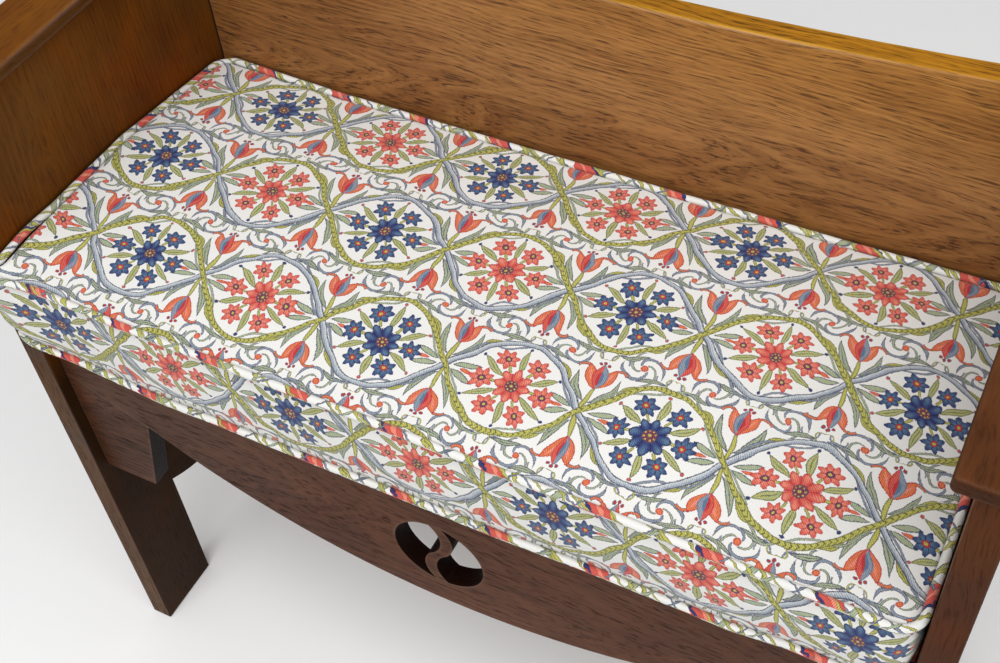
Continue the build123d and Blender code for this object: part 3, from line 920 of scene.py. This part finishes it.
def eased(part):
    """A share with a soft start and a soft end."""
    return part * part * (3 - 2 * part)


def rounded_plan(a, b, inset):
    """A point of the plan, from shares -1 to 1 across and along; the edge follows the rounded outline."""
    half_x = CUSHION_X - inset
    low, high = CUSHION_FRONT + inset, CUSHION_REAR - inset
    middle, half_y = (low + high) / 2, (high - low) / 2
    ring = max(abs(a), abs(b), 1e-9)
    ea, eb = a / ring, b / ring
    x = ea * (half_x - END_DRAW * (1 - eb * eb))
    y = eb * (half_y - SIDE_DRAW * (1 - ea * ea))
    radius = CORNER_RADIUS - inset
    cx, cy = half_x - radius, half_y - radius
    if abs(x) > cx and abs(y) > cy:
        dx, dy = abs(x) - cx, abs(y) - cy
        reach = math.hypot(dx, dy)
        if reach > radius:
            x = math.copysign(cx + dx / reach * radius, x)
            y = math.copysign(cy + dy / reach * radius, y)
    blend = eased(share(ring, 0.7, 1.0))
    px = a * half_x * (1 - blend) + x * ring * blend
    py = b * half_y * (1 - blend) + y * ring * blend
    return px, py + middle


def settled(x, y, z):
    """A point of the cushion as it lies: a tight fit, up the left end and out past that end's front edge."""
    rise = share(z, SEAM_LOW, SEAM_HIGH)
    corner = math.hypot(x + CUSHION_X, y - CUSHION_FRONT)
    forward = share(y, *LEFT_LIFT_FADE) * (0.84 + 0.16 * share(y, -0.165, -0.130))
    lift = LEFT_LIFT * forward * math.exp(-(x + CUSHION_X) / LEFT_LIFT_REACH) * rise
    lift += CORNER_LIFT * math.exp(-corner / CORNER_LIFT_REACH) * (1 - rise) ** 3
    swelling = eased(share(rise, 0.0, 0.4))
    push = math.exp(-((corner / SPILL_REACH) ** 2))
    drawn = sum(depth * share(x, start, end) for depth, start, end in FOOT_DRAWS)
    drawn *= share(y, *FOOT_DRAW_FADE) * share(rise, 0.5, 0.0) * (1 - push)
    y += drawn - SPILL_FORWARD * push * (0.45 + 0.55 * swelling)
    past_end = eased(share(y, *PAST_END))
    x -= SPILL_LEFT * push * past_end * (0.75 + 0.25 * swelling)
    return x, y, z + lift


def square_rim(across, deep):
    """The rim of a grid of cells, counter-clockwise from its front left corner."""
    rim = [(i, 0) for i in range(across)]
    rim += [(across, j) for j in range(deep)]
    rim += [(i, deep) for i in range(across, 0, -1)]
    rim += [(0, j) for j in range(deep, 0, -1)]
    return rim


def cover_mesh(across=126, deep=54, rows=14):
    """The unfilled cover with its cloth coordinates, and the points that the filling doesn't move.

    It is a top grid, a bottom grid and a band between them.
    """
    points, faces, panel = [], [], []
    grids = []
    for z in (SEAM_HIGH, SEAM_LOW):
        grid = {}
        for j in range(deep + 1):
            for i in range(across + 1):
                x, y = rounded_plan(i / across * 2 - 1, j / deep * 2 - 1, SEAM_INSET)
                grid[i, j] = len(points)
                points.append((x, y, z))
        grids.append(grid)
    for grid, kind in zip(grids, ("top", "bottom")):
        for j in range(deep):
            for i in range(across):
                quad = [grid[i, j], grid[i + 1, j], grid[i + 1, j + 1], grid[i, j + 1]]
                faces.append(quad[::-1] if kind == "bottom" else quad)
                panel.append(kind)
    rim = square_rim(across, deep)
    top, bottom = [[grid[k] for k in rim] for grid in grids]
    rings = [bottom]
    for r in range(1, rows):
        bulge = BAND_BULGE * math.sin(math.pi * r / rows) ** 0.7
        ring = []
        for i, j in rim:
            x, y = rounded_plan(i / across * 2 - 1, j / deep * 2 - 1, SEAM_INSET - bulge)
            ring.append(len(points))
            points.append((x, y, SEAM_LOW + SEAM_RISE * r / rows))
        rings.append(ring)
    rings.append(top)
    count = len(rim)
    run = [-CUSHION_X]
    for n in range(count):
        a, b = Vector(points[top[n]]), Vector(points[top[(n + 1) % count]])
        run.append(run[-1] + (b - a).length)
    for r in range(rows):
        for n in range(count):
            m = (n + 1) % count
            faces.append([rings[r][n], rings[r][m], rings[r + 1][m], rings[r + 1][n]])
            panel.append((run[n], run[n + 1], r / rows, (r + 1) / rows))
    mesh = bpy.data.meshes.new("cushion_cover")
    mesh.from_pydata(points, [], faces)
    mesh.update()
    layer = mesh.uv_layers.new(name="cloth")
    for face, kind in zip(mesh.polygons, panel):
        for k, loop in enumerate(face.loop_indices):
            x, y, _ = points[mesh.loops[loop].vertex_index]
            if kind == "top":
                layer.data[loop].uv = (x, y)
            elif kind == "bottom":
                layer.data[loop].uv = (x, -y)
            else:
                s = kind[0] if k in (0, 3) else kind[1]
                t = kind[2] if k in (0, 1) else kind[3]
                layer.data[loop].uv = (s, CUSHION_FRONT - (1 - t) * SEAM_RISE)
    return mesh, set(top) | set(grids[1].values())


def inflate(obj, pinned, pressure, steps=20):
    """Fills the cover with air between its held points and gives each point's start and how far it moved."""
    held = obj.vertex_groups.new(name="held")
    held.add(sorted(pinned), 1.0, "REPLACE")
    modifier = obj.modifiers.new("filling", "CLOTH")
    settings = modifier.settings
    settings.quality = 6
    settings.mass = 0.3
    settings.tension_stiffness = 22.0
    settings.compression_stiffness = 22.0
    settings.shear_stiffness = 8.0
    settings.bending_stiffness = 1.2
    settings.use_pressure = True
    settings.uniform_pressure_force = pressure
    settings.vertex_group_mass = "held"
    settings.effector_weights.gravity = 0.0
    modifier.collision_settings.use_collision = False
    start = np.array([v.co for v in obj.data.vertices])
    scene = bpy.context.scene
    for step in range(1, steps + 1):
        scene.frame_set(step)
    shown = obj.evaluated_get(bpy.context.evaluated_depsgraph_get())
    end = np.array([v.co for v in shown.data.vertices])
    obj.modifiers.remove(modifier)
    obj.vertex_groups.clear()
    scene.frame_set(1)
    return start, end - start


def swell(start, moved):
    """The filled form: the swelling scaled to the crown on top and to a small bulge in the band."""
    top = start[:, 2] > SEAM_HIGH - ON_SEAM
    band = ~top & (start[:, 2] > SEAM_LOW + ON_SEAM)
    wall = np.minimum(CUSHION_X - np.abs(start[:, 0]), start[:, 1] - CUSHION_FRONT)
    wall = np.minimum(wall, CUSHION_REAR - start[:, 1]) - SEAM_INSET
    wall = np.clip(wall, 0, None)
    lift = np.clip(moved[:, 2], 0, None) * (CROWN / moved[top, 2].max())
    lift = lift * (1 - np.exp(-wall / CROWN_REACH)) - SEAM_DIP * np.exp(-wall / SEAM_DIP_REACH)
    lift[~top] = 0.0
    out = moved[:, :2].copy()
    widest = np.hypot(out[band, 0], out[band, 1]).max()
    if widest > 0:
        out[band] *= BAND_SWELL / widest
    out[~band] = 0.0
    return start + np.column_stack([out, lift])


def uneven(x, y, z):
    """A point of the filled cover with its unevenness, the puckers at its seams and its sag below."""
    from_end = CUSHION_X - abs(x)
    if z > SEAM_HIGH + PAST_SEAM:
        near = min(from_end, y - CUSHION_FRONT, CUSHION_REAR - y)
        soft = noise.noise(Vector((x * 9, y * 9, 3.1))) * WAVER
        pucker = noise.noise(Vector((x * 34, y * 34, 7.7))) * PUCKER
        z += soft + pucker * math.exp(-max(near - 0.01, 0) / PUCKER_REACH)
    elif z > SEAM_LOW + PAST_SEAM:
        push = noise.noise(Vector((x * 14, y * 14, z * 16))) * BAND_WAVER
        push *= math.sin(math.pi * (z - SEAM_LOW) / SEAM_RISE)
        if from_end < 0.020:
            x += push * x / CUSHION_X
        y += math.copysign(0.2 if from_end < 0.012 else 1.0, y) * push
    elif z < SEAM_LOW + ON_SEAM:
        edge = max(abs(x) / CUSHION_X, abs(y + 0.012) / 0.165)
        z -= UNDERSIDE_SAG * share(edge, 0.985, 0.945)
    return x, y, z


def soften(obj):
    """Smooth shading and one level of subdivision."""
    for face in obj.data.polygons:
        face.use_smooth = True
    modifier = obj.modifiers.new("smooth", "SUBSURF")
    modifier.levels = 1
    modifier.render_levels = 1


def make_cover():
    """The cushion's cover, filled, in place of its panels and foam."""
    mesh, pinned = cover_mesh()
    obj = put("cushion_cover", mesh)
    start, moved = inflate(obj, pinned, pressure=4.0)
    for vertex, filled in zip(mesh.vertices, swell(start, moved)):
        vertex.co = settled(*uneven(*filled))
    mesh.update()
    soften(obj)
    mesh.materials.append(cloth_material("cover_cloth", fabric_group()))
    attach(obj, "cushion")
    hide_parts("cushion_top_panel", "cushion_side_band", "cushion_bottom_panel", "cushion_foam")


# Piping: a covered cord along each seam, cut on the bias, a little uneven
CORD_STEPS = 720
CORD_SIDES = 14
CORD_WANDER = 0.0010
CORD_PINCH = 0.0004
CORD_SUNK = 0.0001
CORD_SUNK_LEFT = 0.0028
CORD_SUNK_REAR = 0.0010
LOW_CORD_DROP = 0.001
CLOTH_START = 0.087


def seam_route(height, steps, samples=4000):
    """Evenly spaced points along a seam at a height, and the seam's length."""
    loop = []
    for n in range(samples):
        t = n / samples * 4
        edge, f = int(t), (t % 1) * 2 - 1
        a, b = ((f, -1), (1, f), (-f, 1), (-1, -f))[edge]
        loop.append(Vector(settled(*rounded_plan(a, b, PIPING_RADIUS), height)))
    run = [0.0]
    for n in range(samples):
        run.append(run[-1] + (loop[(n + 1) % samples] - loop[n]).length)
    total = run[-1]
    path, k = [], 0
    for n in range(steps):
        want = total * n / steps
        while run[k + 1] < want:
            k += 1
        f = (want - run[k]) / max(run[k + 1] - run[k], 1e-9)
        path.append(loop[k].lerp(loop[(k + 1) % samples], f))
    return path, total


def sunk(place):
    """How far the high cord lies in the cover along the left end and the back, where the crown hides it."""
    far_left = share(place.x, -0.360, -0.375) * share(place.y, -0.14, -0.10)
    far_rear = share(place.y, 0.132, 0.144)
    return max(CORD_SUNK_LEFT * far_left, CORD_SUNK_REAR * far_rear)


def make_piping(name, height, replaced, seed):
    """The cord of one seam; the seed sets its unevenness and its cloth apart from the other's."""
    steps, sides = CORD_STEPS, CORD_SIDES
    path, total = seam_route(height, steps)
    up = Vector((0, 0, 1))
    points, faces = [], []
    for n in range(steps):
        ahead = (path[(n + 1) % steps] - path[n - 1]).normalized()
        out = Vector((ahead.y, -ahead.x, 0)).normalized()
        pinch = CORD_PINCH * abs(noise.noise(path[n] * 24 + Vector((0, 0, seed)))) + CORD_SUNK
        wander = CORD_WANDER * noise.noise(path[n] * 11 + Vector((seed, 0, 0)))
        drop = sunk(path[n]) if height == SEAM_HIGH else 0.0
        centre = path[n] + up * (wander - drop) - out * pinch
        radius = PIPING_RADIUS * (0.975 + 0.05 * noise.noise(path[n] * 60 + Vector((0, seed, 0))))
        for s in range(sides):
            angle = 2 * math.pi * s / sides
            points.append(centre + (out * math.cos(angle) + up * math.sin(angle)) * radius)
    for n in range(steps):
        m = (n + 1) % steps
        for s in range(sides):
            r = (s + 1) % sides
            faces.append([n * sides + s, m * sides + s, m * sides + r, n * sides + r])
    mesh = bpy.data.meshes.new(name)
    mesh.from_pydata([tuple(p) for p in points], [], faces)
    mesh.update()
    layer = mesh.uv_layers.new(name="cloth")
    around = 2 * math.pi * PIPING_RADIUS
    cloth_start = seed * CLOTH_START
    for f, face in enumerate(mesh.polygons):
        n, s = divmod(f, sides)
        corners = ((n, s), (n + 1, s), (n + 1, s + 1), (n, s + 1))
        for (i, j), loop in zip(corners, face.loop_indices):
            layer.data[loop].uv = (total * i / steps + cloth_start, around * j / sides)
    obj = put(name, mesh)
    soften(obj)
    mesh.materials.append(piping_cloth)
    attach(obj, "cushion")
    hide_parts(replaced)


make_cover()
piping_cloth = cloth_material("piping_cloth", cord_group(), crease=1.5)
make_piping("cushion_piping_high", SEAM_HIGH, "cushion_top_piping", 1.0)
make_piping("cushion_piping_low", SEAM_LOW - LOW_CORD_DROP, "cushion_bottom_piping", 2.0)


# Floor and light
FLOOR_HALF = 6.0
SKY_STRENGTH = 0.38


def make_floor():
    """A plain pale floor."""
    mesh = bpy.data.meshes.new("floor")
    corners = [(x * FLOOR_HALF, y * FLOOR_HALF, 0) for x, y in ((-1, -1), (1, -1), (1, 1), (-1, 1))]
    mesh.from_pydata(corners, [], [(0, 1, 2, 3)])
    obj = put("floor", mesh)
    made, net, shader = material("floor", 0.9, specular=0.1)
    place = net.nodes.new("ShaderNodeTexCoord").outputs["Object"]
    speck = net.noise(place, 40.0, 2.0)
    pale, paler = (0.97, 0.97, 0.97, 1.0), (0.99, 0.99, 0.99, 1.0)
    net.feed(shader.inputs["Base Color"], net.mix(speck, pale, paler))
    mesh.materials.append(made)


def make_sky():
    """An even white light from all around."""
    world = bpy.data.worlds.new("world")
    world.use_nodes = True
    background = world.node_tree.nodes["Background"]
    background.inputs["Color"].default_value = (1.0, 1.0, 1.0, 1.0)
    background.inputs["Strength"].default_value = SKY_STRENGTH
    bpy.context.scene.world = world


def make_lamp(name, place, target, size, power):
    """A round soft lamp."""
    lamp = bpy.data.lights.new(name, "AREA")
    lamp.shape = "DISK"
    lamp.size = size
    lamp.energy = power
    aim(put(name, lamp), place, target)


make_floor()
make_sky()
make_lamp("key", place=(0.1, -1.5, 3.0), target=(0, 0, 0.5), size=2.4, power=68)
make_lamp("fill", place=(1.5, -0.3, 2.6), target=(-0.2, 0, 0.5), size=1.4, power=14)
